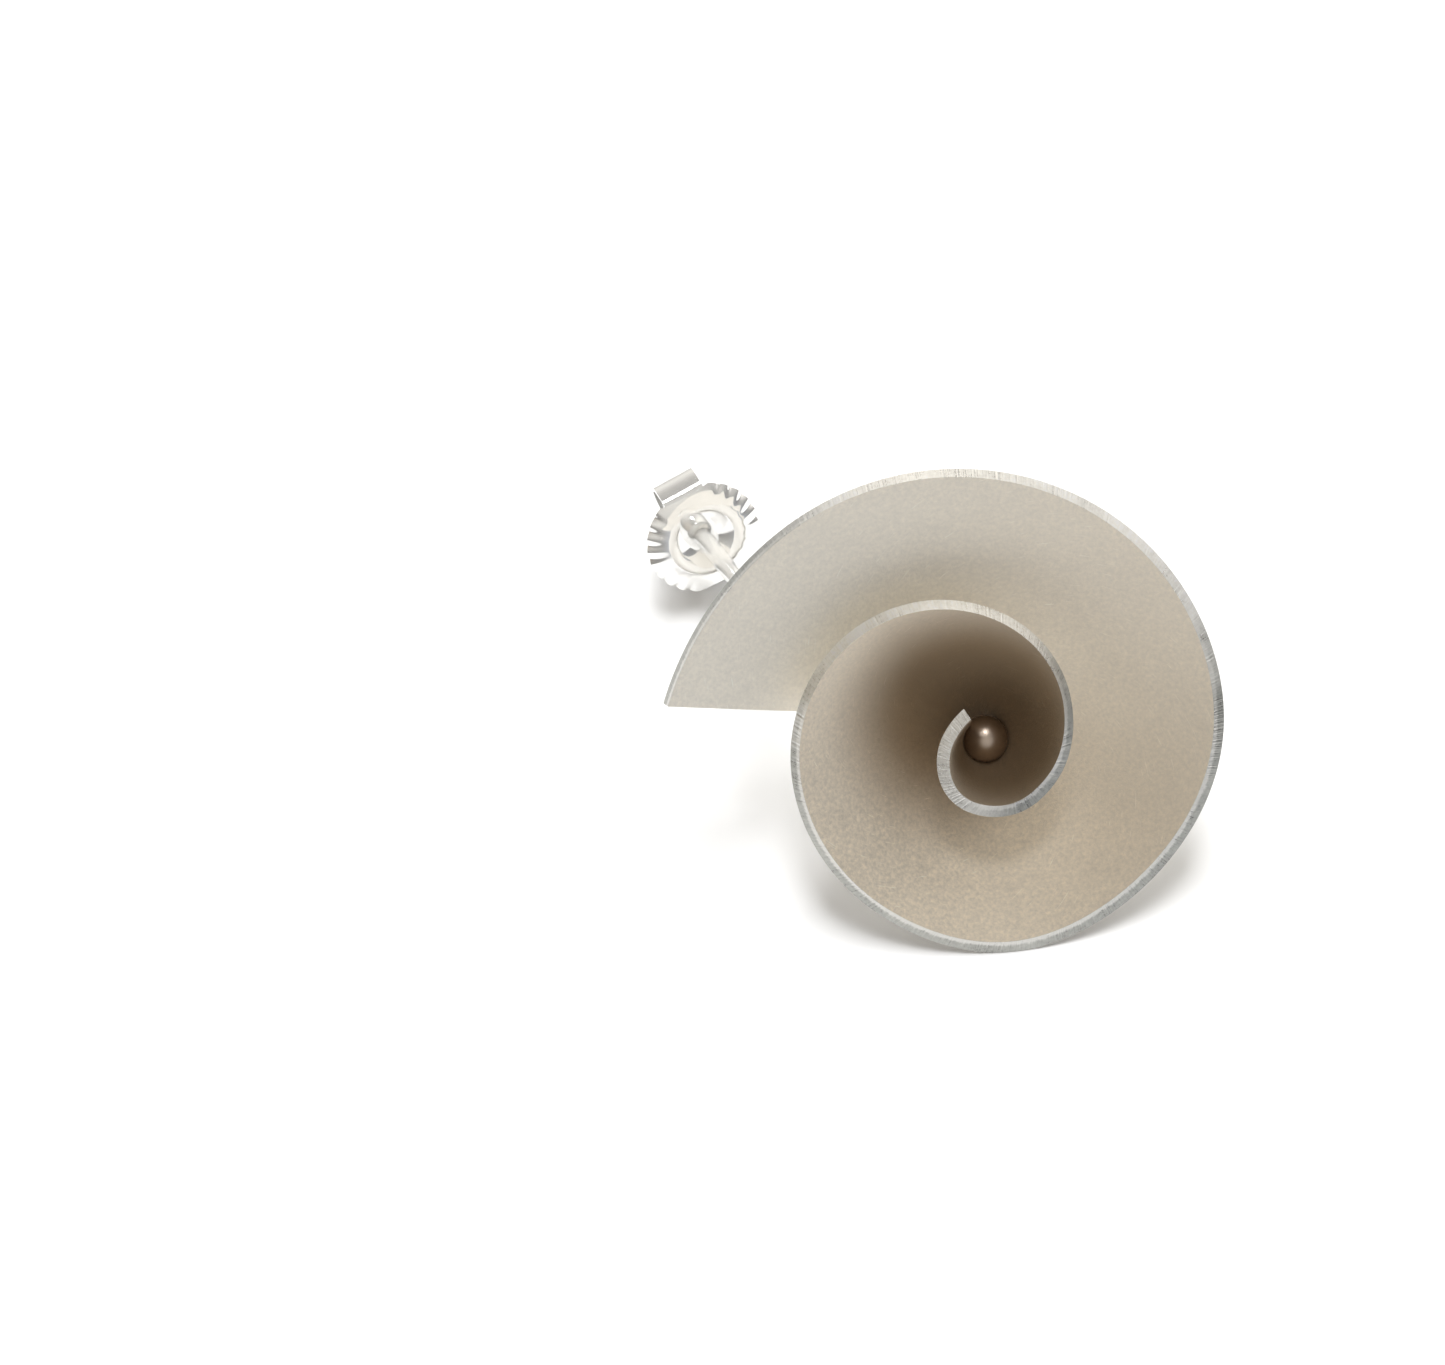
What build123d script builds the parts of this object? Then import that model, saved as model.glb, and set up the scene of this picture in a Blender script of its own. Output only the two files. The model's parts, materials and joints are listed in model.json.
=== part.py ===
from build123d import *
from collections import namedtuple
import math
import os

# Spiral stud earring, in millimetres. The part stands on z = 0 as it rests by itself: the cone lies on
# its lowest side, its open front leans back towards -Y, and the ear nut props it up from behind.
# Every piece is first made in the earring's own frame: the rim's plane is z = 0, the open front looks
# along +Z, the wall runs back towards -Z, and turns are counted from +X as seen from the front.

# Sheet that is rolled into the spiral
SHEET_THICKNESS = 0.50  # silver sheet
RIM_REACH = 13.4        # rim radius at the tip of the wide end
THROAT_REACH = 6.6      # radius of the back edge at the wide end
DEPTH = 5.53            # rim plane to back edge
EDGE_ROUND = 0.06       # radius left by filing along the sheet's long edges
END_SKEW = -3.5         # degrees that the cut of the wide end is turned off the radial line

# Ball that closes the throat
BALL_RADIUS = 0.95
BALL_DOWN = 0.72        # share of DEPTH from the rim plane to the ball centre

# Ear post, soldered on the back of the wide end
POST_RADIUS = 0.40
POST_LENGTH = 12.9      # from the sheet to the tip
POST_TURN = 146.0       # direction of its foot from the throat
POST_OUT = 0.716        # share of RIM_REACH that its foot stands out from the throat's axis
POST_TILT = 20.5        # off the throat's axis
POST_TILT_TURN = 133.4  # direction that it leans to
POST_TIP_ROUND = 0.25
SOLDER_RADIUS = 0.72
SOLDER_HEIGHT = 0.34
SOLDER_BED = 0.12       # how far post and solder bite into the sheet

# Butterfly ear nut, bent from one stamped strip
NUT_BACK = 3.05         # post left behind the front of the plate
NUT_TURN = 22.0         # turn of the strip about the post
NUT_SHEET = 0.28
NUT_RADIUS = 2.55
NUT_FLAT = 2.15         # from the post to the straight sides where the strip bends back
NUT_DOME = 0.30         # how far the plate's edge stands back from its crown
NUT_DISH_RADIUS = 1.45
NUT_DISH_DEPTH = 0.42
NUT_CLEARANCE = 0.04    # between the post and the hole, and the scrolls
SCROLL_WIDTH = 1.8
SCROLL_OUTER = 1.10     # bend radii of a scroll, from the plate inwards
SCROLL_MIDDLE = 0.85
SCROLL_INNER = 0.48
SCROLL_END = 70.0       # degrees that the last bend turns
FLUTES = 8              # grip flutes on each side of the plate
FLUTE_RADIUS = 0.24
FLUTE_DEPTH = 0.15
FLUTE_SPAN = 104.0      # degrees of the plate's edge that they take

# The rolled sheet, one row for each section. Radii and depth are shares of RIM_REACH, THROAT_REACH and
# DEPTH. Width is the share of the full slant that the sheet has there, for the rounded narrow end. File is
# how many degrees the cut edge is filed off square, towards the front.
Row = namedtuple("Row", "turn rim throat depth width file")
SPIRAL = (
    (119, 0.206, 0.188, 0.780, 0.30, 0),
    (130, 0.201, 0.187, 0.780, 0.84, 0),
    (157, 0.194, 0.184, 0.800, 1.00, 0),
    (180, 0.188, 0.183, 0.810, 1.00, 0),
    (210, 0.180, 0.182, 0.830, 1.00, 0),
    (250, 0.162, 0.184, 0.860, 1.00, 0),
    (290, 0.158, 0.183, 0.900, 1.00, 0),
    (330, 0.168, 0.173, 0.930, 1.00, 0),
    (360, 0.198, 0.158, 0.950, 1.00, 0),
    (390, 0.254, 0.142, 0.970, 1.00, 0),
    (420, 0.351, 0.130, 0.990, 1.00, 0),
    (450, 0.470, 0.120, 1.000, 1.00, 0),
    (480, 0.576, 0.116, 1.000, 1.00, 0),
    (510, 0.625, 0.120, 1.000, 1.00, 0),
    (540, 0.613, 0.136, 1.000, 1.00, 5),
    (570, 0.582, 0.164, 1.000, 1.00, 12),
    (600, 0.565, 0.205, 1.000, 1.00, 20),
    (630, 0.571, 0.262, 1.000, 1.00, 26),
    (660, 0.567, 0.330, 1.000, 1.00, 27),
    (690, 0.592, 0.386, 0.955, 1.00, 26),
    (720, 0.650, 0.439, 0.874, 1.00, 24),
    (750, 0.708, 0.500, 0.748, 1.00, 20),
    (780, 0.786, 0.606, 0.613, 1.00, 15),
    (810, 0.875, 0.742, 0.514, 1.00, 9),
    (840, 0.948, 0.879, 0.450, 1.00, 3),
    (863, 0.981, 0.955, 0.432, 1.00, 0),
    (884, 1.010, 1.000, 0.432, 1.00, 0),
)


def radial(turn):
    """Unit vector from the throat's axis towards a turn."""
    a = math.radians(turn)
    return Vector(math.cos(a), math.sin(a), 0)


def slant(row):
    """Back face of the sheet at a row, rim first: distances from the throat's axis and heights."""
    rim_r, back_r = row.rim * RIM_REACH, row.throat * THROAT_REACH
    return (rim_r, 0.0), (rim_r + (back_r - rim_r) * row.width, -row.depth * DEPTH * row.width)


def section(row, skew=0.0):
    """The sheet's cut at one turn, its four corners rounded, turned about the rim by the skew."""
    (r0, z0), (r1, z1) = slant(row)
    length = math.hypot(r1 - r0, z1 - z0)
    in_r, in_z = SHEET_THICKNESS * (z1 - z0) / length, SHEET_THICKNESS * (r0 - r1) / length
    filed = math.tan(math.radians(row.file)) / 2
    corners = [(in_z * filed, -in_r * filed), (in_r - in_z * filed, in_z + in_r * filed),
               (r1 - r0 + in_r, z1 - z0 + in_z), (r1 - r0, z1 - z0)]
    outward = radial(row.turn - skew)
    plane = Plane(origin=radial(row.turn) * r0, x_dir=outward, z_dir=outward.cross(Vector(0, 0, 1)))
    outline = make_face(Polyline(*corners, close=True))
    return plane * fillet(outline.vertices(), EDGE_ROUND)


def rolled_sheet():
    """The whole strip, from its rounded narrow end to the skew cut of the wide one."""
    rows = [Row(*values) for values in SPIRAL]
    return loft([section(row) for row in rows[:-1]] + [section(rows[-1], END_SKEW)])


def row_at(turn):
    """Row of the spiral at a turn between two of the table's."""
    for low, high in zip(SPIRAL, SPIRAL[1:]):
        if low[0] <= turn <= high[0]:
            t = (turn - low[0]) / (high[0] - low[0])
            return Row(*(a + (b - a) * t for a, b in zip(low, high)))
    raise ValueError("turn is off the spiral")


def post_frame():
    """Plane at the post's foot on the back of the wide end, its normal along the post."""
    (r0, z0), (r1, z1) = slant(row_at(POST_TURN + 720))
    out = POST_OUT * RIM_REACH
    foot = radial(POST_TURN) * out + Vector(0, 0, z0 + (z1 - z0) * (r0 - out) / (r0 - r1))
    tilt = math.radians(POST_TILT)
    along = radial(POST_TILT_TURN) * math.sin(tilt) - Vector(0, 0, math.cos(tilt))
    side = radial(POST_TILT_TURN + 90)
    return Plane(origin=foot, x_dir=side, z_dir=along)


def post():
    """Straight wire with a rounded tip, in its own frame with the foot at z = 0."""
    wire = Pos(0, 0, -SOLDER_BED) * Cylinder(
        POST_RADIUS, POST_LENGTH + SOLDER_BED, align=(Align.CENTER, Align.CENTER, Align.MIN))
    wire = fillet(wire.edges().sort_by(Axis.Z)[-1], POST_TIP_ROUND)
    solder = Pos(0, 0, -SOLDER_BED) * Cone(
        SOLDER_RADIUS, POST_RADIUS, SOLDER_HEIGHT + SOLDER_BED, align=(Align.CENTER, Align.CENTER, Align.MIN))
    return wire + solder


def spiral_shell():
    ball = Pos(0, 0, -BALL_DOWN * DEPTH) * Sphere(BALL_RADIUS)
    return rolled_sheet() + ball + post_frame() * post()


def nut_plate():
    """Domed plate with a dished middle round the hole, its flutes cut in both sides."""
    hole = POST_RADIUS + NUT_CLEARANCE
    half = NUT_SHEET / 2
    crown = (NUT_DISH_RADIUS, half)
    dish = Line((hole, half + NUT_DISH_DEPTH), (0.5 * (hole + NUT_DISH_RADIUS), half + 0.35 * NUT_DISH_DEPTH))
    lip = TangentArc(dish @ 1, crown, tangent=dish % 1)
    dome = TangentArc(crown, (NUT_RADIUS - half, half + NUT_DOME), tangent=lip % 1)
    plate = revolve(Plane.XZ * trace([dish, lip, dome], NUT_SHEET), Axis.Z)
    plate -= Cylinder(hole, 2 * NUT_RADIUS)
    plate &= Box(3 * NUT_RADIUS, 2 * NUT_FLAT, 2 * NUT_RADIUS)
    cutter = Cylinder(FLUTE_RADIUS, 2 * NUT_RADIUS)
    out = NUT_RADIUS + FLUTE_RADIUS - FLUTE_DEPTH
    for side in (0, 180):
        for k in range(FLUTES):
            turn = side + FLUTE_SPAN * (k / (FLUTES - 1) - 0.5)
            plate -= Pos(radial(turn) * out) * cutter
    return plate


def scroll():
    """One curl of the strip behind the plate, bending round beside the post."""
    half = NUT_SHEET / 2
    beside = POST_RADIUS + NUT_CLEARANCE + half + SCROLL_MIDDLE
    front = half + 0.2 * NUT_DOME
    start = Line((NUT_DISH_RADIUS - half, front), (beside, front))
    outer = JernArc(start @ 1, start % 1, SCROLL_OUTER, 180)
    middle = JernArc(outer @ 1, outer % 1, SCROLL_MIDDLE, 180)
    inner = JernArc(middle @ 1, middle % 1, SCROLL_INNER, SCROLL_END)
    profile = Plane.YZ * trace([start, outer, middle, inner], NUT_SHEET)
    return extrude(profile, SCROLL_WIDTH / 2, both=True)


def ear_nut():
    """The nut in the post's frame, its plate at the seat."""
    curl = scroll()
    nut = nut_plate() + curl + curl.mirror(Plane.XZ)
    return Pos(0, 0, POST_LENGTH - NUT_BACK) * Rot(0, 0, NUT_TURN) * nut


def edge_points(shape, keep=lambda point: True):
    points = [edge.position_at(k / 160) for edge in shape.edges() for k in range(161)]
    return [point for point in points if keep(point)]


def resting_plane(shell, nut):
    """Plane that the rim, the back edge and the nut all touch, with the open front towards -Y."""
    wall = edge_points(shell)
    groups = [[p for p in wall if p.Z > -DEPTH / 4], [p for p in wall if -1.05 * DEPTH < p.Z < -DEPTH / 2],
              edge_points(nut)]
    down = Vector(0, -1, -1).normalized()
    for _ in range(12):
        a, b, c = (max(group, key=lambda p: p.dot(down)) for group in groups)
        normal = (b - a).cross(c - a).normalized()
        down = normal if normal.dot(down) > 0 else -normal
    across = Vector(0, 0, 1).cross(down).normalized()
    return Plane(origin=a, x_dir=across, z_dir=-down)


def main():
    os.makedirs("parts", exist_ok=True)
    shell = spiral_shell()
    nut = post_frame() * ear_nut()
    rest = resting_plane(shell, nut).location.inverse()
    pieces = {"spiral_shell": rest * shell, "ear_nut": rest * nut}
    boxes = [piece.bounding_box() for piece in pieces.values()]
    low = [min(tuple(box.min)[k] for box in boxes) for k in range(3)]
    high = [max(tuple(box.max)[k] for box in boxes) for k in range(3)]
    to_origin = Pos(-(low[0] + high[0]) / 2, -(low[1] + high[1]) / 2, -low[2])
    for name, piece in pieces.items():
        export_step(to_origin * piece, f"parts/{name}.step")


main()
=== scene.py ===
"""Looks of a spiral stud earring: satin silver sheet rolled round a small ball, filed cut edges, an ear
post on the back and a polished butterfly ear nut. Laid out as an add-on, run as a script."""

import json
import math
from collections import namedtuple

import bmesh
import bpy
import numpy as np
from mathutils import Matrix, Vector


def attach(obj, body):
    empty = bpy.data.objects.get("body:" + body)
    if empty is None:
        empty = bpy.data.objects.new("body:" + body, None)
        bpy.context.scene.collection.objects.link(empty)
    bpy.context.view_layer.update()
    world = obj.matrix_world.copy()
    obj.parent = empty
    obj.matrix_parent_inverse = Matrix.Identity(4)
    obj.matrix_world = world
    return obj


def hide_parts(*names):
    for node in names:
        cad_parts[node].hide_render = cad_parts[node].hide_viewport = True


bl_info = {
    "name": "Spiral stud earring",
    "version": (1, 0, 0),
    "blender": (4, 5, 0),
    "location": "View3D > Sidebar > Earring",
    "description": "Builds the looks of a spiral stud earring on its packed frame",
    "category": "Object",
}

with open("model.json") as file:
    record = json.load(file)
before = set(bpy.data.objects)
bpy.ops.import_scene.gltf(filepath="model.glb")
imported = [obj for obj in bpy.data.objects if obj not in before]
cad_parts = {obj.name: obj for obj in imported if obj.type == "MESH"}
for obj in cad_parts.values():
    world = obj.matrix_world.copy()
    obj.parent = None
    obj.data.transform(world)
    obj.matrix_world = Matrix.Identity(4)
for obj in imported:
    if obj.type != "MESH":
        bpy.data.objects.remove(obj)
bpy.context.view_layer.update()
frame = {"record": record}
POST_MOUNT = next(mount for mount in frame["record"]["mounts"] if mount["name"] == "ear_post")
MM = 0.001
SAME_PLACE = 1e-7  # metres within which two points are one

# The rolled sheet, one row for each section: degrees of turn, and shares of the rim's reach, the throat's
# reach, the depth and the full slant, as the rounded narrow end has less of it, then how many degrees the
# cut edge is filed off square, towards the front.
Row = namedtuple("Row", "turn rim throat depth width file")
SPIRAL = (
    Row(119, 0.206, 0.188, 0.780, 0.30, 0),
    Row(130, 0.201, 0.187, 0.780, 0.84, 0),
    Row(157, 0.194, 0.184, 0.800, 1.00, 0),
    Row(180, 0.188, 0.183, 0.810, 1.00, 0),
    Row(210, 0.180, 0.182, 0.830, 1.00, 0),
    Row(250, 0.162, 0.184, 0.860, 1.00, 0),
    Row(290, 0.158, 0.183, 0.900, 1.00, 0),
    Row(330, 0.168, 0.173, 0.930, 1.00, 0),
    Row(360, 0.198, 0.158, 0.950, 1.00, 0),
    Row(390, 0.254, 0.142, 0.970, 1.00, 0),
    Row(420, 0.351, 0.130, 0.990, 1.00, 0),
    Row(450, 0.470, 0.120, 1.000, 1.00, 0),
    Row(480, 0.576, 0.116, 1.000, 1.00, 0),
    Row(510, 0.625, 0.120, 1.000, 1.00, 0),
    Row(540, 0.613, 0.136, 1.000, 1.00, 5),
    Row(570, 0.582, 0.164, 1.000, 1.00, 12),
    Row(600, 0.565, 0.205, 1.000, 1.00, 20),
    Row(630, 0.571, 0.262, 1.000, 1.00, 26),
    Row(660, 0.567, 0.330, 1.000, 1.00, 27),
    Row(690, 0.592, 0.386, 0.955, 1.00, 26),
    Row(720, 0.650, 0.439, 0.874, 1.00, 24),
    Row(750, 0.708, 0.500, 0.748, 1.00, 20),
    Row(780, 0.786, 0.606, 0.613, 1.00, 15),
    Row(810, 0.875, 0.742, 0.514, 1.00, 9),
    Row(840, 0.948, 0.879, 0.450, 1.00, 3),
    Row(863, 0.981, 0.955, 0.432, 1.00, 0),
    Row(884, 1.010, 1.000, 0.432, 1.00, 0),
)
FULL_FROM = SPIRAL[2].turn  # past this turn the rounded narrow end has its full slant
SKEW_FROM = SPIRAL[-2].turn  # from this turn on the sections turn to the wide end's skew cut
SKEW_TO = SPIRAL[-1].turn
AROUND = 720  # faces along the strip
ACROSS = 14  # faces over its width
FRONT, EDGE, BACK = range(3)  # order of the sheet's finishes

# The solder's collar from the sheet up: shares of its reach past the wire, and of its height
COLLAR = ((1, 0), (0.42, 0.16), (0.13, 0.5), (0, 1))
COLLAR_FOOT = 1.04  # its sunk foot, in shares of its radius
POST_FACES = 64  # faces round the post

PLATE_FACES = 360  # faces round the nut's plate
PLATE_RINGS = 22  # rings of faces from its hole to its edge
DISH_CURVE = 1.5  # power by which the dish deepens toward the hole
FLUTES = 8  # grip flutes in a row
FLUTED = math.radians(104)  # turn of the plate's edge that a row of them takes
FLUTES_FROM = 1.05  # where they begin, in shares of the dish's radius
FLUTE_PINCH = 0.035  # share by which a flute draws the plate's edge in
SCROLL_START = 0.2  # share of the dome's drop at which a scroll leaves the plate
SCROLL_LAST = 70  # degrees of a scroll's last bend
BEND_STEP = 7.5  # degrees of a bend that one face takes


def size(name, description, mm):
    return bpy.props.FloatProperty(
        name=name, description=description, default=mm * MM, unit="LENGTH", precision=5)


def angle(name, description, degrees):
    return bpy.props.FloatProperty(
        name=name, description=description, default=math.radians(degrees), unit="ROTATION")


def colour(name, description, rgb):
    return bpy.props.FloatVectorProperty(
        name=name, description=description, default=rgb, size=3, subtype="COLOR", min=0, max=1)


class SpiralSizes(bpy.types.PropertyGroup):
    throat: bpy.props.FloatVectorProperty(
        name="Throat", description="Where the throat's axis meets the rim's plane",
        default=(2.05074 * MM, -5.26064 * MM, 5.3101 * MM), size=3, subtype="TRANSLATION", precision=5)
    lean: angle("Lean", "How far the rim's plane is tipped up off the floor", 43.925)
    yaw: angle("Yaw", "Turn of the table's first direction about the throat's axis", -0.145)
    sheet: size("Sheet", "Thickness of the silver sheet", 0.5)
    rim_reach: size("Rim reach", "Rim radius at the tip of the wide end", 13.4)
    throat_reach: size("Throat reach", "Radius of the back edge at the wide end", 6.6)
    depth: size("Depth", "From the rim's plane to the back edge", 5.53)
    edge_round: size("Edge round", "Rounding left by filing along the cut edges", 0.13)
    end_skew: angle("End skew", "How far the cut of the wide end is turned off the radial line", -3.5)
    ball_radius: size("Ball radius", "Radius of the ball in the throat", 0.95)
    ball_depth: size("Ball depth", "From the rim's plane to the ball's centre", 3.982)


class PostSizes(bpy.types.PropertyGroup):
    radius: size("Post radius", "Radius of the post's wire", 0.4)
    length: size("Post length", "From the sheet to the tip", 12.9)
    foot: size("Foot", "From the foot to the mount's place on the post", 5.0)
    tip_round: size("Tip round", "Rounding of the tip", 0.25)
    solder_radius: size("Solder radius", "Radius of the solder's collar at the sheet", 0.72)
    solder_height: size("Solder height", "Height of the solder's collar", 0.34)
    solder_sunk: size("Solder sunk", "How deep the collar's foot is sunk in the sheet", 0.16)
    lean_turn: angle("Lean turn", "Direction that the post leans to, about the throat's axis", 133.4)


class NutSizes(bpy.types.PropertyGroup):
    seat: size("Seat", "From the sheet to the nut's plate", 9.85)
    turn: angle("Turn", "Turn of the nut's strip about the post", 22.0)
    strip: size("Strip", "Thickness of the stamped strip", 0.28)
    edge_round: size("Edge round", "Rounding of the strip's cut edges", 0.05)
    hole: size("Hole", "Radius of the hole", 0.44)
    plate: size("Plate", "Radius of the plate", 2.42)
    flat: size("Flat", "From the post to the straight sides", 2.15)
    dish_radius: size("Dish radius", "Radius of the ring round the dish", 1.45)
    dish_depth: size("Dish depth", "Depth of the dish at the hole", 0.42)
    dome: size("Dome", "How far the plate's edge stands back", 0.3)
    flute: size("Flute", "How far a grip flute is pressed back at the plate's edge", 0.06)
    scroll_width: size("Scroll width", "Width of the strip in the scrolls", 1.8)
    scroll_outer: size("Outer bend", "Radius of a scroll's first bend", 1.1)
    scroll_middle: size("Middle bend", "Radius of a scroll's second bend", 0.85)
    scroll_inner: size("Inner bend", "Radius of a scroll's last bend", 0.48)


class Finishes(bpy.types.PropertyGroup):
    satin: colour("Satin silver", "Colour of the matted sheet", (0.895, 0.84, 0.75))
    # Painted light: a lighter, cooler copy of the satin colour laid over the wide end.
    tail: colour("Satin tail", "Colour of the cleaner sheet toward the wide end", (0.95, 0.925, 0.87))
    back: colour("Satin back", "Colour of the sheet's matted back", (0.90, 0.87, 0.815))
    # Painted light: the back round the curl is lighter, to lift the shade in the groove beside it.
    groove: colour("Groove", "Colour of the cleaner back in the groove round the curl", (0.99, 0.975, 0.945))
    specks: colour("Specks", "Colour of the dirt in the sheet's small pits", (0.2, 0.16, 0.12))
    # Painted shade: this colour darkens and browns the sheet round the ball, standing in for the well's shade
    # and dark reflections.
    well_shade: colour("Tarnish", "What is left of the silver's colour in the well", (0.48, 0.40, 0.31))
    # Painted reflection on the edge: its grey is partly the bare filed metal and partly painted shade of the
    # darker reflection on its outer part; the corner colour below is a painted highlight along its inner
    # corner.
    filed: colour("Filed edge", "Colour of the bare filed edges", (0.42, 0.42, 0.395))
    highlit_corner: colour("Burnished corner", "Colour along the filed edge's inner corner", (0.66, 0.65, 0.62))
    # Painted highlight: the colour of the edge's bright stretches.
    highlit: colour("Rubbed edge", "Colour where wear has rubbed the edge bright", (0.97, 0.96, 0.93))
    # Painted shade: the ball is darker and browner than bare silver, for the shaded well that it sits in.
    ball: colour("Ball", "Colour of the tarnished ball", (0.60, 0.50, 0.42))
    bright: colour("Bright silver", "Colour of the polished nut and post", (0.98, 0.98, 0.97))
    floor: colour("Floor", "Colour of the floor", (0.88, 0.89, 0.905))


# Places


def radial(turn):
    return Vector((math.cos(turn), math.sin(turn), 0))


def face_frame(spiral):
    """From the earring's own frame, rim in its first plane and front along its third axis, to the scene."""
    tipped = Matrix.Rotation(spiral.lean, 4, "X") @ Matrix.Rotation(spiral.yaw, 4, "Z")
    return Matrix.Translation(spiral.throat) @ tipped


def post_frame(spiral, post):
    """Foot of the post at the origin, its third axis along the post and its first square to its lean."""
    along = Vector(POST_MOUNT["axis"]).normalized()
    side = face_frame(spiral).to_3x3() @ radial(post.lean_turn + math.pi / 2)
    side = (side - along * side.dot(along)).normalized()
    turned = Matrix((side, along.cross(side), along)).transposed().to_4x4()
    return Matrix.Translation(Vector(POST_MOUNT["pos_m"]) - along * post.foot) @ turned


# Shapes


def smooth_through(at, xs, ys):
    """Values of the smooth curves through the columns ys over xs, read at the places at."""
    h = np.diff(xs)
    n = len(xs)
    left = np.eye(n)
    right = np.zeros_like(ys)
    for k in range(1, n - 1):
        left[k, k - 1 : k + 2] = h[k - 1], 2 * (h[k - 1] + h[k]), h[k]
        right[k] = 6 * ((ys[k + 1] - ys[k]) / h[k] - (ys[k] - ys[k - 1]) / h[k - 1])
    bend = np.linalg.solve(left, right)
    k = np.clip(np.searchsorted(xs, at) - 1, 0, n - 2)
    a, b, w = (xs[k + 1] - at)[:, None], (at - xs[k])[:, None], h[k][:, None]
    curve = (bend[k] * a**3 + bend[k + 1] * b**3) / (6 * w)
    return curve + (ys[k] / w - bend[k] * w / 6) * a + (ys[k + 1] / w - bend[k + 1] * w / 6) * b


def make_piece(bm, name, body, materials, place):
    """Puts a finished bmesh in the scene as a smooth object at the origin that rides on its CAD body."""
    bmesh.ops.transform(bm, matrix=place, verts=bm.verts)
    mesh = bpy.data.meshes.new(name)
    bm.to_mesh(mesh)
    bm.free()
    mesh.shade_smooth()
    for material in materials:
        mesh.materials.append(material)
    piece = bpy.data.objects.new(name, mesh)
    bpy.context.scene.collection.objects.link(piece)
    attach(piece, body)
    return piece


def thicken(piece, thickness):
    solidify = piece.modifiers.new("Thickness", "SOLIDIFY")
    solidify.thickness = thickness
    solidify.offset = 0
    solidify.use_even_offset = True
    solidify.use_quality_normals = True


def round_edges(piece, width, segments, sharper_than):
    """Rounds the edges that are sharper than so many degrees."""
    bevel = piece.modifiers.new("Rounded edges", "BEVEL")
    bevel.width = width
    bevel.segments = segments
    bevel.limit_method = "ANGLE"
    bevel.angle_limit = math.radians(sharper_than)
    bevel.profile = 0.5
    bevel.harden_normals = True
    bevel.material = -1


def flat_strip():
    """A flat slab: long way in X, slant in Y, back face at height 0 and front face at 1, cut sides apart."""
    bm = bmesh.new()
    bmesh.ops.create_grid(bm, x_segments=AROUND, y_segments=ACROSS, size=1)
    out = bmesh.ops.extrude_face_region(bm, geom=bm.faces[:], use_keep_orig=True)
    front = [v for v in out["geom"] if isinstance(v, bmesh.types.BMVert)]
    bmesh.ops.translate(bm, verts=front, vec=(0, 0, 1))
    bmesh.ops.recalc_face_normals(bm, faces=bm.faces)
    for face in bm.faces:
        if abs(face.normal.z) < 0.5:
            face.material_index = EDGE
        else:
            face.material_index = FRONT if face.normal.z > 0 else BACK
    return bm


def section_of(co):
    """Number of the section that a point of the flat slab lies in, and its share of the way over it."""
    return round((co.x + 1) / 2 * AROUND), (co.y + 1) / 2


def roll(bm, spiral):
    """Rolls the flat slab up by the table, files its front edge, and maps both its ways in millimetres."""
    rows = np.array(SPIRAL, float)
    degrees = np.linspace(rows[0, 0], rows[-1, 0], AROUND + 1)
    rim, throat, depth, width, filed = smooth_through(degrees, rows[:, 0], rows[:, 1:]).T
    width = np.where(degrees > FULL_FROM, 1, np.minimum(width, 1))
    rim, throat, depth = rim * spiral.rim_reach, throat * spiral.throat_reach, depth * spiral.depth
    late = np.clip((degrees - SKEW_FROM) / (SKEW_TO - SKEW_FROM), 0, 1)
    turns = np.radians(degrees)
    skewed = turns - spiral.end_skew * late**2
    level = np.zeros_like(turns)
    edge = np.stack([rim * np.cos(turns), rim * np.sin(turns), level], 1)
    outward = np.stack([np.cos(skewed), np.sin(skewed), level], 1)
    upward = np.array([[0, 0, 1.0]])
    slant = (throat - rim)[:, None] * outward - depth[:, None] * upward
    full = np.linalg.norm(slant, axis=1)[:, None]
    inward = spiral.sheet * ((rim - throat)[:, None] * upward - depth[:, None] * outward) / full
    filed = np.radians(np.maximum(filed, 0))[:, None]
    down = slant / full * spiral.sheet * np.tan(filed) / 2
    slant *= width[:, None]
    along = np.concatenate([[0], np.cumsum(np.linalg.norm(np.diff(edge, axis=0), axis=1))]) / MM
    wide = np.linalg.norm(slant, axis=1) / MM
    strip = bm.loops.layers.uv.new("strip")
    for face in bm.faces:
        at_end = abs(face.normal.x) > 0.5
        for loop in face.loops:
            k, across = section_of(loop.vert.co)
            if face.material_index == EDGE:
                way = wide[k] * across if at_end else along[k]
                loop[strip].uv = way, spiral.sheet / MM * loop.vert.co.z
            else:
                loop[strip].uv = along[k], wide[k] * across
    for vert in bm.verts:
        (k, across), front = section_of(vert.co), vert.co.z
        place = edge[k] + slant[k] * across + inward[k] * front
        if across < SAME_PLACE:
            place += down[k] * (2 * front - 1)
        vert.co = place
    # Rolling can turn the slab inside out.
    if bm.calc_volume(signed=True) < 0:
        bmesh.ops.reverse_faces(bm, faces=bm.faces)


def spun(points, steps):
    """Surface of a profile of (radius, height) points turned round the third axis."""
    bm = bmesh.new()
    verts = [bm.verts.new((r, 0, z)) for r, z in points]
    edges = [bm.edges.new(pair) for pair in zip(verts, verts[1:])]
    bmesh.ops.spin(bm, geom=verts + edges, cent=(0, 0, 0), axis=(0, 0, 1), angle=2 * math.pi,
                   steps=steps, use_merge=True)
    bmesh.ops.remove_doubles(bm, verts=bm.verts, dist=SAME_PLACE)
    bmesh.ops.recalc_face_normals(bm, faces=bm.faces)
    return bm


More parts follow.
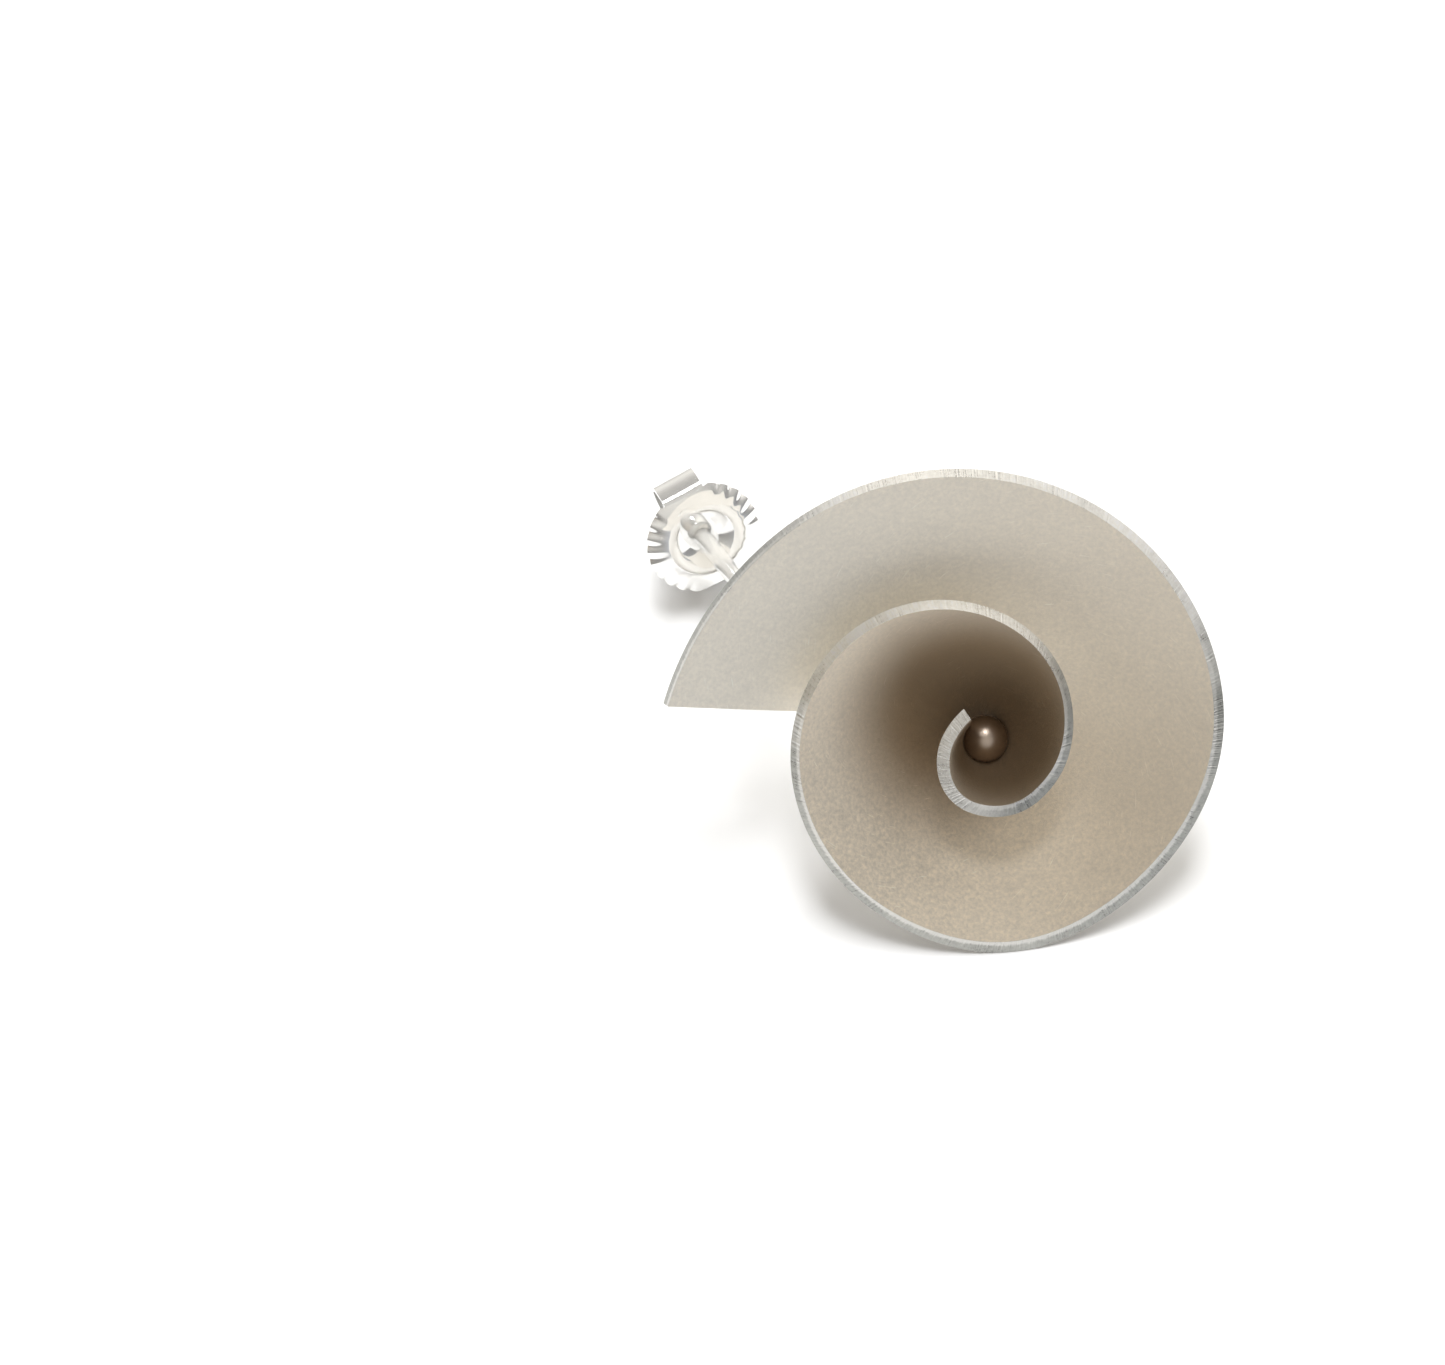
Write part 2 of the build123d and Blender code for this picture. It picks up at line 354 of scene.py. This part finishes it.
def round_tipped_post(post):
    """The post on its solder's collar, from the collar's sunk foot to the rounded tip."""
    r, reach, sunk = post.radius, post.solder_radius - post.radius, post.solder_sunk
    points = [(0, -sunk), (post.solder_radius * COLLAR_FOOT, -sunk)]
    points += [(r + out * reach, up * post.solder_height) for out, up in COLLAR]
    points += [(r, post.length), (0, post.length)]
    bm = spun(points, POST_FACES)
    top = [v for v in bm.verts if abs(v.co.z - post.length) < SAME_PLACE and v.co.xy.length > r / 2]
    tip = [e for e in bm.edges if all(v in top for v in e.verts)]
    bmesh.ops.bevel(bm, geom=tip, offset=post.tip_round, segments=6, affect="EDGES", profile=0.5,
                    material=-1)
    return bm


def flute(turn):
    """How far into a grip flute a direction of the plate's edge lies, from 0 between flutes to 1 in one."""
    off_side = (turn + math.pi / 2) % math.pi - math.pi / 2
    pitch = FLUTED / (FLUTES - 1)
    if abs(off_side) > (FLUTED + pitch) / 2:
        return 0.0
    return 0.5 + 0.5 * math.cos(2 * math.pi * (off_side + FLUTED / 2) / pitch)


def dished_plate(nut):
    """The nut's plate: a dish round the hole, a dome to its fluted edge, and two sides cut straight."""
    points = []
    for k in range(PLATE_RINGS + 1):
        r = nut.hole + (nut.plate - nut.hole) * k / PLATE_RINGS
        if r < nut.dish_radius:
            t = (nut.dish_radius - r) / (nut.dish_radius - nut.hole)
            z = nut.strip / 2 + nut.dish_depth * t**DISH_CURVE
        else:
            t = (r - nut.dish_radius) / (nut.plate - nut.dish_radius)
            z = nut.strip / 2 + nut.dome * t**2
        points.append((r, z))
    bm = spun(points, PLATE_FACES)
    start = FLUTES_FROM * nut.dish_radius
    for vert in bm.verts:
        r, turn = vert.co.xy.length, math.atan2(vert.co.y, vert.co.x)
        out = min(max((r - start) / (nut.plate - start), 0), 1)
        depth = flute(turn) * out**2
        vert.co.xy *= 1 - FLUTE_PINCH * depth * out
        vert.co.z += nut.flute * depth
    for way in (1, -1):
        bmesh.ops.bisect_plane(bm, geom=bm.verts[:] + bm.edges[:] + bm.faces[:],
                               plane_co=(0, way * nut.flat, 0), plane_no=(0, way, 0), clear_outer=True)
    bmesh.ops.recalc_face_normals(bm, faces=bm.faces)
    return bm


def two_scrolls(nut):
    """The scrolls behind the plate: a line bent round three centres, drawn out to its width and mirrored."""
    bm = bmesh.new()
    beside = nut.hole + nut.strip / 2 + nut.scroll_middle
    front = nut.strip / 2 + SCROLL_START * nut.dome
    start = bm.verts.new((-nut.scroll_width / 2, nut.dish_radius - nut.strip / 2, front))
    tip = bm.verts.new((-nut.scroll_width / 2, beside, front))
    bm.edges.new((start, tip))
    bends = ((nut.scroll_outer, 180, 1), (nut.scroll_middle, 180, -1), (nut.scroll_inner, SCROLL_LAST, 1))
    for radius, degrees, inside in bends:
        centre = tip.co + Vector((0, 0, inside * radius))
        out = bmesh.ops.spin(bm, geom=[tip], cent=centre, axis=(1, 0, 0), angle=math.radians(degrees),
                             steps=round(degrees / BEND_STEP))
        tip = next(v for v in out["geom_last"] if isinstance(v, bmesh.types.BMVert))
    out = bmesh.ops.extrude_edge_only(bm, edges=bm.edges[:])
    far = [v for v in out["geom"] if isinstance(v, bmesh.types.BMVert)]
    bmesh.ops.translate(bm, verts=far, vec=(nut.scroll_width, 0, 0))
    bmesh.ops.mirror(bm, geom=bm.verts[:] + bm.edges[:] + bm.faces[:], axis="Y", merge_dist=0)
    bmesh.ops.recalc_face_normals(bm, faces=bm.faces)
    return bm


def join(bm, other):
    """Takes the other bmesh into the first and frees it."""
    passing = bpy.data.meshes.new("passing")
    other.to_mesh(passing)
    other.free()
    bm.from_mesh(passing)
    bpy.data.meshes.remove(passing)


# Finishes. Stretches of the strip are in millimetres along the rim, from the narrow end.

GRAIN_FINE = 17000  # cells to the metre, as are the next four
GRAIN_MIDDLE = 6500
CLOUDS = 450
SPECKS = 520
DENTS = 1500
SPECK_RADIUS = (0.02, 0.045)  # core and faded edge of a speck, in shares of its cell
SPECKED = (0.86, 0.9)  # only cells whose number is above this have one
BUMP = 0.03 * MM  # height that the grain stands for
SATIN_ROUGH = 0.8  # roughness of the sheet's face, and below of its filed edges and its back
FILED_ROUGH = 0.36
BACK_ROUGH = 0.7

WORN = (24, 33, 40, 52)  # stretch of the face with a livelier tone: start, full, still full and end
LIT_TAIL = (50, 82)  # over it the satin turns to the tail's painted lighter colour
LIT_GROOVE = (32, 48)  # over it the back's painted lighter groove ends
HIGHLIT_STRETCHES = ((-4, 3), (16, 25), (61, 77))  # stretches of the filed edge with a painted highlight
HIGHLIT_FADE = 4  # over how much each of them fades at its ends
INNER_CORNER = (0.27, 0.36)  # where the painted highlight of the inner corner begins, in millimetres from the sheet's back

# Painted shade in the well, darkest beside the throat's axis and fading up the strip.
WELL_BESIDE = (0.1 * MM, 0.8 * MM)  # the painted shade's deepest place, beside the throat's axis
WELL_GROWS = (0, 16, 6.8 * MM, 9.6 * MM)  # its reach grows over the first stretch of the strip
WELL_SHRINKS = (22, 50, 9.5 * MM, 4.0 * MM)  # and shrinks over the later one
WELL_FADE = 5.2 * MM  # over how much it fades


def shader_group(name, inputs, outputs):
    """An empty shader node group with its sockets, and the group's input and output nodes."""
    group = bpy.data.node_groups.new(name, "ShaderNodeTree")
    for label, kind, default in inputs:
        socket = group.interface.new_socket(label, in_out="INPUT", socket_type=kind)
        if default is not None:
            socket.default_value = default
    for label in outputs:
        group.interface.new_socket(label, in_out="OUTPUT", socket_type="NodeSocketFloat")
    return group, group.nodes.new("NodeGroupInput").outputs, group.nodes.new("NodeGroupOutput").inputs


def add(tree, kind, values=(), **settings):
    """A new node with its settings, and its inputs by name or number: a value, or a socket to link."""
    node = tree.nodes.new(kind)
    for key, value in settings.items():
        setattr(node, key, value)
    for key, value in dict(values).items():
        if isinstance(value, bpy.types.NodeSocket):
            tree.links.new(value, node.inputs[key])
        else:
            node.inputs[key].default_value = value
    return node


def math_node(tree, operation, *values):
    return add(tree, "ShaderNodeMath", dict(enumerate(values)), operation=operation).outputs[0]


def plus(tree, base, value, weight):
    """The base and a weighed value together."""
    return math_node(tree, "MULTIPLY_ADD", value, weight, base)


def between(tree, value, low, high, to_low=0.0, to_high=1.0):
    """The value's place between low and high, as a number from to_low to to_high."""
    return add(tree, "ShaderNodeMapRange", {0: value, 1: low, 2: high, 3: to_low, 4: to_high}).outputs[0]


def stretch(tree, along, start, full, still_full, end):
    """One on a stretch of the strip, fading in before it and out after it."""
    return math_node(tree, "MULTIPLY", between(tree, along, start, full),
                     between(tree, along, still_full, end, 1, 0))


def noise(tree, place, scale, detail, roughness):
    return add(tree, "ShaderNodeTexNoise", {
        "Vector": place, "Scale": scale, "Detail": detail, "Roughness": roughness}).outputs["Fac"]


def mixed(tree, share, first, second, blend="MIX"):
    """The first colour turned into the second, or blended with it, by a share from nought to one."""
    return add(tree, "ShaderNodeMix", {0: share, 6: first, 7: second},
               data_type="RGBA", blend_type=blend).outputs[2]


def tinted(tree, rgb, tone, strength):
    """The colour made lighter and darker by a tone round nought."""
    factor = plus(tree, 1.0, tone, strength)
    return add(tree, "ShaderNodeVectorMath", {0: rgb, "Scale": factor}, operation="SCALE").outputs[0]


def object_place(tree):
    return add(tree, "ShaderNodeTexCoord").outputs["Object"]


def strip_map(tree):
    """The strip's own map, and its two ways, along the rim and across, in millimetres."""
    strip = add(tree, "ShaderNodeUVMap", uv_map="strip").outputs[0]
    along, across, _ = add(tree, "ShaderNodeSeparateXYZ", {0: strip}).outputs
    return strip, along, across


def satin_grain(name):
    """Random matting: fine and middling grain, cloudy patches, a few specks and soft dimples, in metres."""
    group, given, put_out = shader_group(
        name,
        [("Place", "NodeSocketVector", None), ("Grain", "NodeSocketFloat", 1.0),
         ("Clouds", "NodeSocketFloat", 1.0)],
        ["Height", "Tone", "Rough", "Specks", "Dimples"])
    place = given["Place"]
    fine = noise(group, place, GRAIN_FINE, 2, 0.6)
    middle = noise(group, place, GRAIN_MIDDLE, 2, 0.6)
    cloud = noise(group, place, CLOUDS, 3, 0.6)
    dents = noise(group, place, DENTS, 1, 0.4)
    height = plus(group, math_node(group, "MULTIPLY", middle, 0.4), fine, 0.6)
    height = math_node(group, "MULTIPLY", height, given["Grain"])
    dapple = math_node(group, "MULTIPLY", math_node(group, "SUBTRACT", middle, 0.5), given["Grain"])
    drift = math_node(group, "MULTIPLY", math_node(group, "SUBTRACT", cloud, 0.5), given["Clouds"])
    cells = add(group, "ShaderNodeTexVoronoi", {"Vector": place, "Scale": SPECKS, "Randomness": 1.0}).outputs
    number = add(group, "ShaderNodeSeparateColor", {"Color": cells["Color"]}).outputs[0]
    near = between(group, cells["Distance"], *SPECK_RADIUS, 1, 0)
    group.links.new(height, put_out["Height"])
    group.links.new(math_node(group, "ADD", dapple, drift), put_out["Tone"])
    group.links.new(plus(group, dapple, drift, 0.5), put_out["Rough"])
    group.links.new(math_node(group, "MULTIPLY", near, between(group, number, *SPECKED)), put_out["Specks"])
    group.links.new(plus(group, dents, height, 0.12), put_out["Dimples"])
    return group


def fine_scratches(name):
    """Thin strokes along one way of a map in millimetres, broken into lengths."""
    group, given, put_out = shader_group(
        name,
        [("Place", "NodeSocketVector", None), ("Spacing", "NodeSocketFloat", 0.1),
         ("Length", "NodeSocketFloat", 1.0), ("Angle", "NodeSocketFloat", 0.0),
         ("Amount", "NodeSocketFloat", 0.5)],
        ["Mask", "Strokes"])
    turned = add(group, "ShaderNodeVectorRotate", {"Vector": given["Place"], "Angle": given["Angle"]},
                 rotation_type="Z_AXIS").outputs[0]
    x, y, _ = add(group, "ShaderNodeSeparateXYZ", {0: turned}).outputs
    stretched = add(group, "ShaderNodeCombineXYZ", {
        0: math_node(group, "DIVIDE", x, given["Spacing"]),
        1: math_node(group, "DIVIDE", y, given["Length"])}).outputs[0]
    strokes = noise(group, stretched, 1.0, 2, 0.55)
    low = plus(group, 0.8, given["Amount"], -0.4)
    mask = between(group, strokes, low, math_node(group, "ADD", low, 0.08))
    group.links.new(mask, put_out["Mask"])
    group.links.new(strokes, put_out["Strokes"])
    return group


def effect(tree, name, maker, **values):
    """Outputs of a shared effect placed in a material, its node group built when first asked for."""
    group = bpy.data.node_groups.get(name) or maker(name)
    return add(tree, "ShaderNodeGroup", values, node_tree=group).outputs


def grained(tree, place, grain, clouds):
    return effect(tree, "Satin grain", satin_grain, Place=place, Grain=grain, Clouds=clouds)


def scratched(tree, strip, spacing, length, angle, amount):
    return effect(tree, "Fine scratches", fine_scratches,
                  Place=strip, Spacing=spacing, Length=length, Angle=angle, Amount=amount)


def plain_material(name, rgb, roughness, metallic=1.0):
    material = bpy.data.materials.new(name)
    material.use_nodes = True
    tree = material.node_tree
    shader = tree.nodes["Principled BSDF"].inputs
    shader["Metallic"].default_value = metallic
    shader["Base Color"].default_value = (*rgb, 1)
    shader["Roughness"].default_value = roughness
    return material, tree, shader


def finish(tree, shader, shade, rough, height, strength):
    """Gives the metal its changing colour, its roughness and the bump of its skin."""
    bump = add(tree, "ShaderNodeBump", {"Height": height, "Strength": strength, "Distance": BUMP})
    tree.links.new(shade, shader["Base Color"])
    tree.links.new(rough, shader["Roughness"])
    tree.links.new(bump.outputs[0], shader["Normal"])


def soft_skin(tree, shader, shade, roughness, grain):
    """Finishes the metal with a softly dimpled skin."""
    finish(tree, shader, shade, plus(tree, roughness, grain["Tone"], 0.12), grain["Dimples"], 0.25)


def painted_well_shade(tree, place, along, deepest):
    """Painted shade of the well: full round its deepest place, reaching less far up the strip's later turns.
    """
    away = add(tree, "ShaderNodeVectorMath", {0: place, 1: deepest}, operation="DISTANCE").outputs["Value"]
    reach = math_node(tree, "MINIMUM", between(tree, along, *WELL_GROWS), between(tree, along, *WELL_SHRINKS))
    near = math_node(tree, "DIVIDE", math_node(tree, "SUBTRACT", reach, away), WELL_FADE)
    return add(tree, "ShaderNodeMapRange", {0: near}, interpolation_type="SMOOTHSTEP").outputs[0]


def satin_silver(finishes, deepest):
    """Matted sheet with soft grain, faint clouds, stray hairlines, a few dark specks and painted shade in its
    well.
    """
    material, tree, shader = plain_material("satin_silver", finishes.satin, SATIN_ROUGH)
    place = object_place(tree)
    strip, along, _ = strip_map(tree)
    grain = grained(tree, place, grain=1.0, clouds=0.3)
    hair = scratched(tree, strip, spacing=0.06, length=1.6, angle=1.1, amount=0.34)
    brush = scratched(tree, strip, spacing=0.09, length=0.5, angle=0.5, amount=0.5)
    livelier = math_node(tree, "ADD", stretch(tree, along, *WORN), 1.0)
    tone = math_node(tree, "MULTIPLY", plus(tree, grain["Tone"], hair["Mask"], 0.5), livelier)
    # Painted light: the satin turns lighter and cooler toward the wide end.
    shade = mixed(tree, between(tree, along, *LIT_TAIL), tinted(tree, finishes.satin, tone, 0.24),
                  tinted(tree, finishes.tail, tone, 0.2))
    specks = math_node(tree, "MULTIPLY", grain["Specks"], 0.55)
    shade = mixed(tree, specks, shade, (*finishes.specks, 1))
    # Painted shade: the sheet is darkened and browned round the deep well.
    well = painted_well_shade(tree, place, along, deepest)
    shade = mixed(tree, well, shade, (*finishes.well_shade, 1), "MULTIPLY")
    rough = plus(tree, plus(tree, SATIN_ROUGH, grain["Rough"], 0.18), hair["Mask"], -0.08)
    height = plus(tree, plus(tree, grain["Height"], brush["Strokes"], 0.35), hair["Mask"], -0.5)
    finish(tree, shader, shade, rough, height, 0.45)
    return material


def filed_edge(finishes):
    """Bare cut edge with file strokes: grey, with a painted highlight along its inner corner and on a few
    stretches.
    """
    material, tree, shader = plain_material("filed_edge", finishes.filed, FILED_ROUGH)
    strip, along, across = strip_map(tree)
    grain = grained(tree, object_place(tree), grain=1.0, clouds=1.6)
    strokes = scratched(tree, strip, spacing=0.075, length=6.0, angle=0.12, amount=0.9)["Strokes"]
    tone = math_node(tree, "ADD", math_node(tree, "SUBTRACT", strokes, 0.5), grain["Tone"])
    # Painted highlight along the inner corner, set against the grey of the rest of the edge.
    inner = between(tree, plus(tree, across, tone, 0.12), *INNER_CORNER)
    shade = mixed(tree, inner, tinted(tree, finishes.filed, tone, 0.7),
                  tinted(tree, finishes.highlit_corner, tone, 0.25))
    # Painted highlights on a few stretches of the edge.
    bright = 0.0
    for start, end in HIGHLIT_STRETCHES:
        highlit = stretch(tree, along, start - HIGHLIT_FADE, start, end, end + HIGHLIT_FADE)
        bright = math_node(tree, "MAXIMUM", bright, highlit)
    shade = mixed(tree, bright, shade, tinted(tree, finishes.highlit, tone, 0.35))
    height = plus(tree, grain["Height"], strokes, 2.0)
    finish(tree, shader, shade, plus(tree, FILED_ROUGH, tone, 0.3), height, 0.5)
    return material


def satin_back(finishes):
    """Matted back of the sheet, painted lighter in the groove round the curl than on the outer turn."""
    material, tree, shader = plain_material("satin_back", finishes.back, BACK_ROUGH)
    _, along, _ = strip_map(tree)
    grain = grained(tree, object_place(tree), grain=1.0, clouds=0.8)
    # Painted light: the back is lighter in the groove round the curl.
    shade = mixed(tree, between(tree, along, *LIT_GROOVE, 1, 0), tinted(tree, finishes.back, grain["Tone"], 0.12),
                  tinted(tree, finishes.groove, grain["Tone"], 0.12))
    soft_skin(tree, shader, shade, BACK_ROUGH, grain)
    return material


def tumbled_silver(name, rgb, roughness, grained_by=0.4, metallic=0.75):
    """Tumbled silver with a soft dimpled skin, nearly a mirror where it is smooth; a metallic share under
    one leaves it a little of its own white."""
    material, tree, shader = plain_material(name, rgb, roughness, metallic)
    grain = grained(tree, object_place(tree), grain=grained_by, clouds=0.8)
    soft_skin(tree, shader, tinted(tree, rgb, grain["Tone"], 0.12), roughness, grain)
    return material


def white_floor(finishes):
    material, _, shader = plain_material("white_floor", finishes.floor, 0.9, metallic=0.0)
    shader["Specular IOR Level"].default_value = 0.1
    return material


# Stage

FLOOR_HALF = 1.5  # metres from the earring to the floor's sides
FLOOR_DROP = 0.01 * MM  # keeps the floor clear of the metal that rests on it

# Round softboxes aimed at the earring: place, diameter, power, and whether the metal mirrors it
SOFTBOXES = (
    ("window", (0.0, 0.2, 0.47), 0.24, 2.3, False),
    ("lamp", (0.0, 0.05, 0.5), 0.13, 0.4, True),
)

# Soft panels of the tent: the way to each, how narrow it is and the colour of its light
PANELS = (
    ((0, -0.64, 0.77), 4, (0.66, 0.635, 0.59)),
    ((0, 0.95, 0.35), 12, (1.20, 1.15, 1.06)),
    ((0.25, 0.6, 0.76), 14, (1.20, 1.16, 1.06)),
    ((-0.9, 0, 0.43), 5, (0.38, 0.32, 0.24)),
    ((0.78, 0.35, 0.52), 10, (1.05, 1.01, 0.95)),
    ((0.55, -0.83, 0.1), 10, (0.40, 0.44, 0.52)),
)

EYE = Vector((-14.385, -57.736, 105.538)) * MM  # place of the camera
AHEAD = Vector((0.05165, 0.49604, -0.86676))  # the way that it looks
RIGHT = Vector((0.99433, -0.10634, -0.00161))  # the way that its picture's right side points
FOCAL = 2900 / 1445  # its focal length in widths of the picture
SENSOR = 36  # width of its sensor in millimetres


def lay_floor(scene):
    bm = bmesh.new()
    bmesh.ops.create_grid(bm, x_segments=1, y_segments=1, size=FLOOR_HALF)
    mesh = bpy.data.meshes.new("floor")
    bm.to_mesh(mesh)
    bm.free()
    mesh.materials.append(white_floor(scene.earring_finishes))
    floor = bpy.data.objects.new("floor", mesh)
    floor.location.z = -FLOOR_DROP
    scene.collection.objects.link(floor)


def hang_softbox(scene, name, place, diameter, power, mirrored):
    light = bpy.data.lights.new(name, "AREA")
    light.shape = "DISK"
    light.size = diameter
    light.energy = power
    lamp = bpy.data.objects.new(name, light)
    lamp.visible_glossy = mirrored
    lamp.location = place
    lamp.rotation_euler = (-Vector(place)).to_track_quat("-Z", "Y").to_euler()
    scene.collection.objects.link(lamp)


def soft_panel(tree, way, toward, focus, rgb):
    """Light of one soft panel of the tent: brightest toward its middle and fading round it."""
    middle = add(tree, "ShaderNodeVectorMath", {0: way, 1: Vector(toward).normalized()},
                 operation="DOT_PRODUCT").outputs["Value"]
    fall = math_node(tree, "POWER", math_node(tree, "MAXIMUM", middle, 0.0), focus)
    return add(tree, "ShaderNodeVectorMath", {0: rgb, "Scale": fall}, operation="SCALE").outputs[0]


def hang_tent(scene):
    """Hangs a tent of soft panels round the earring, as the world's light."""
    world = bpy.data.worlds.new("tent")
    world.use_nodes = True
    tree = world.node_tree
    way = add(tree, "ShaderNodeTexCoord").outputs["Generated"]
    light = (0, 0, 0)
    for toward, focus, rgb in PANELS:
        panel = soft_panel(tree, way, toward, focus, rgb)
        light = add(tree, "ShaderNodeVectorMath", {0: light, 1: panel}, operation="ADD").outputs[0]
    tree.links.new(light, tree.nodes["Background"].inputs["Color"])
    scene.world = world


def set_camera(scene):
    camera = bpy.data.cameras.new("camera")
    camera.sensor_fit = "HORIZONTAL"
    camera.sensor_width = SENSOR
    camera.lens = FOCAL * SENSOR
    camera.clip_start = 0.005
    camera.clip_end = 10
    eye = bpy.data.objects.new("camera", camera)
    turned = Matrix((RIGHT, RIGHT.cross(AHEAD), -AHEAD)).transposed().to_4x4()
    eye.matrix_world = Matrix.Translation(EYE) @ turned
    scene.collection.objects.link(eye)
    scene.camera = eye


# Operators


class EARRING_OT_rolled_sheet(bpy.types.Operator):
    """Rolls the tapering sheet into the spiral cone, with filed edges and a skew cut at its wide end"""

    bl_idname = "earring.rolled_sheet"
    bl_label = "Rolled sheet"

    def execute(self, context):
        spiral, finishes = context.scene.earring_spiral, context.scene.earring_finishes
        bm = flat_strip()
        roll(bm, spiral)
        place = face_frame(spiral)
        deepest = place @ Vector((*WELL_BESIDE, -spiral.ball_depth))
        materials = [satin_silver(finishes, deepest), filed_edge(finishes), satin_back(finishes)]
        sheet = make_piece(bm, "rolled_sheet", "spiral", materials, place)
        round_edges(sheet, spiral.edge_round, segments=4, sharper_than=55)
        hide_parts("spiral_shell")
        return {"FINISHED"}


class EARRING_OT_throat_ball(bpy.types.Operator):
    """Sets the small ball in the throat"""

    bl_idname = "earring.throat_ball"
    bl_label = "Throat ball"

    def execute(self, context):
        spiral, finishes = context.scene.earring_spiral, context.scene.earring_finishes
        bm = bmesh.new()
        bmesh.ops.create_uvsphere(bm, u_segments=96, v_segments=48, radius=spiral.ball_radius)
        place = face_frame(spiral) @ Matrix.Translation((0, 0, -spiral.ball_depth))
        # The ball's dark brown is painted shade of the deep well.
        silver = tumbled_silver("ball_silver", finishes.ball, roughness=0.34, grained_by=0.25, metallic=1.0)
        make_piece(bm, "throat_ball", "spiral", [silver], place)
        return {"FINISHED"}


class EARRING_OT_ear_post(bpy.types.Operator):
    """Solders the round-tipped post to the back of the wide end"""

    bl_idname = "earring.ear_post"
    bl_label = "Ear post"

    def execute(self, context):
        scene = context.scene
        bm = round_tipped_post(scene.earring_post)
        place = post_frame(scene.earring_spiral, scene.earring_post)
        silver = tumbled_silver("post_silver", scene.earring_finishes.bright, roughness=0.13)
        make_piece(bm, "ear_post", "spiral", [silver], place)
        return {"FINISHED"}


class EARRING_OT_butterfly_nut(bpy.types.Operator):
    """Makes the butterfly ear nut: a dished and fluted plate with a scroll at each straight side"""

    bl_idname = "earring.butterfly_nut"
    bl_label = "Butterfly nut"

    def execute(self, context):
        scene = context.scene
        nut = scene.earring_nut
        bm = dished_plate(nut)
        join(bm, two_scrolls(nut))
        seat = Matrix.Translation((0, 0, nut.seat)) @ Matrix.Rotation(nut.turn, 4, "Z")
        place = post_frame(scene.earring_spiral, scene.earring_post) @ seat
        silver = tumbled_silver("bright_silver", scene.earring_finishes.bright, roughness=0.09)
        piece = make_piece(bm, "butterfly_nut", "nut", [silver], place)
        thicken(piece, nut.strip)
        round_edges(piece, nut.edge_round, segments=2, sharper_than=60)
        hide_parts("ear_nut")
        return {"FINISHED"}


class EARRING_OT_stage(bpy.types.Operator):
    """Lays the white floor and sets the soft light and the camera"""

    bl_idname = "earring.stage"
    bl_label = "Stage"

    def execute(self, context):
        scene = context.scene
        lay_floor(scene)
        for softbox in SOFTBOXES:
            hang_softbox(scene, *softbox)
        hang_tent(scene)
        set_camera(scene)
        scene.view_settings.view_transform = "Standard"
        return {"FINISHED"}


MAKERS = (
    EARRING_OT_rolled_sheet,
    EARRING_OT_throat_ball,
    EARRING_OT_ear_post,
    EARRING_OT_butterfly_nut,
    EARRING_OT_stage,
)


class EARRING_PT_panel(bpy.types.Panel):
    """Lists the earring's pieces and its stage"""

    bl_idname = "EARRING_PT_panel"
    bl_label = "Spiral stud earring"
    bl_space_type = "VIEW_3D"
    bl_region_type = "UI"
    bl_category = "Earring"

    def draw(self, context):
        for maker in MAKERS:
            self.layout.operator(maker.bl_idname)


SETTINGS = (
    ("earring_spiral", SpiralSizes),
    ("earring_post", PostSizes),
    ("earring_nut", NutSizes),
    ("earring_finishes", Finishes),
)
CLASSES = [group for _, group in SETTINGS] + list(MAKERS) + [EARRING_PT_panel]


def register():
    for cls in CLASSES:
        bpy.utils.register_class(cls)
    for name, group in SETTINGS:
        setattr(bpy.types.Scene, name, bpy.props.PointerProperty(type=group))


def unregister():
    for name, _ in SETTINGS:
        delattr(bpy.types.Scene, name)
    for cls in reversed(CLASSES):
        bpy.utils.unregister_class(cls)


def main():
    register()
    bpy.ops.earring.rolled_sheet()
    bpy.ops.earring.throat_ball()
    bpy.ops.earring.ear_post()
    bpy.ops.earring.butterfly_nut()
    bpy.ops.earring.stage()


if __name__ == "__main__":
    main()
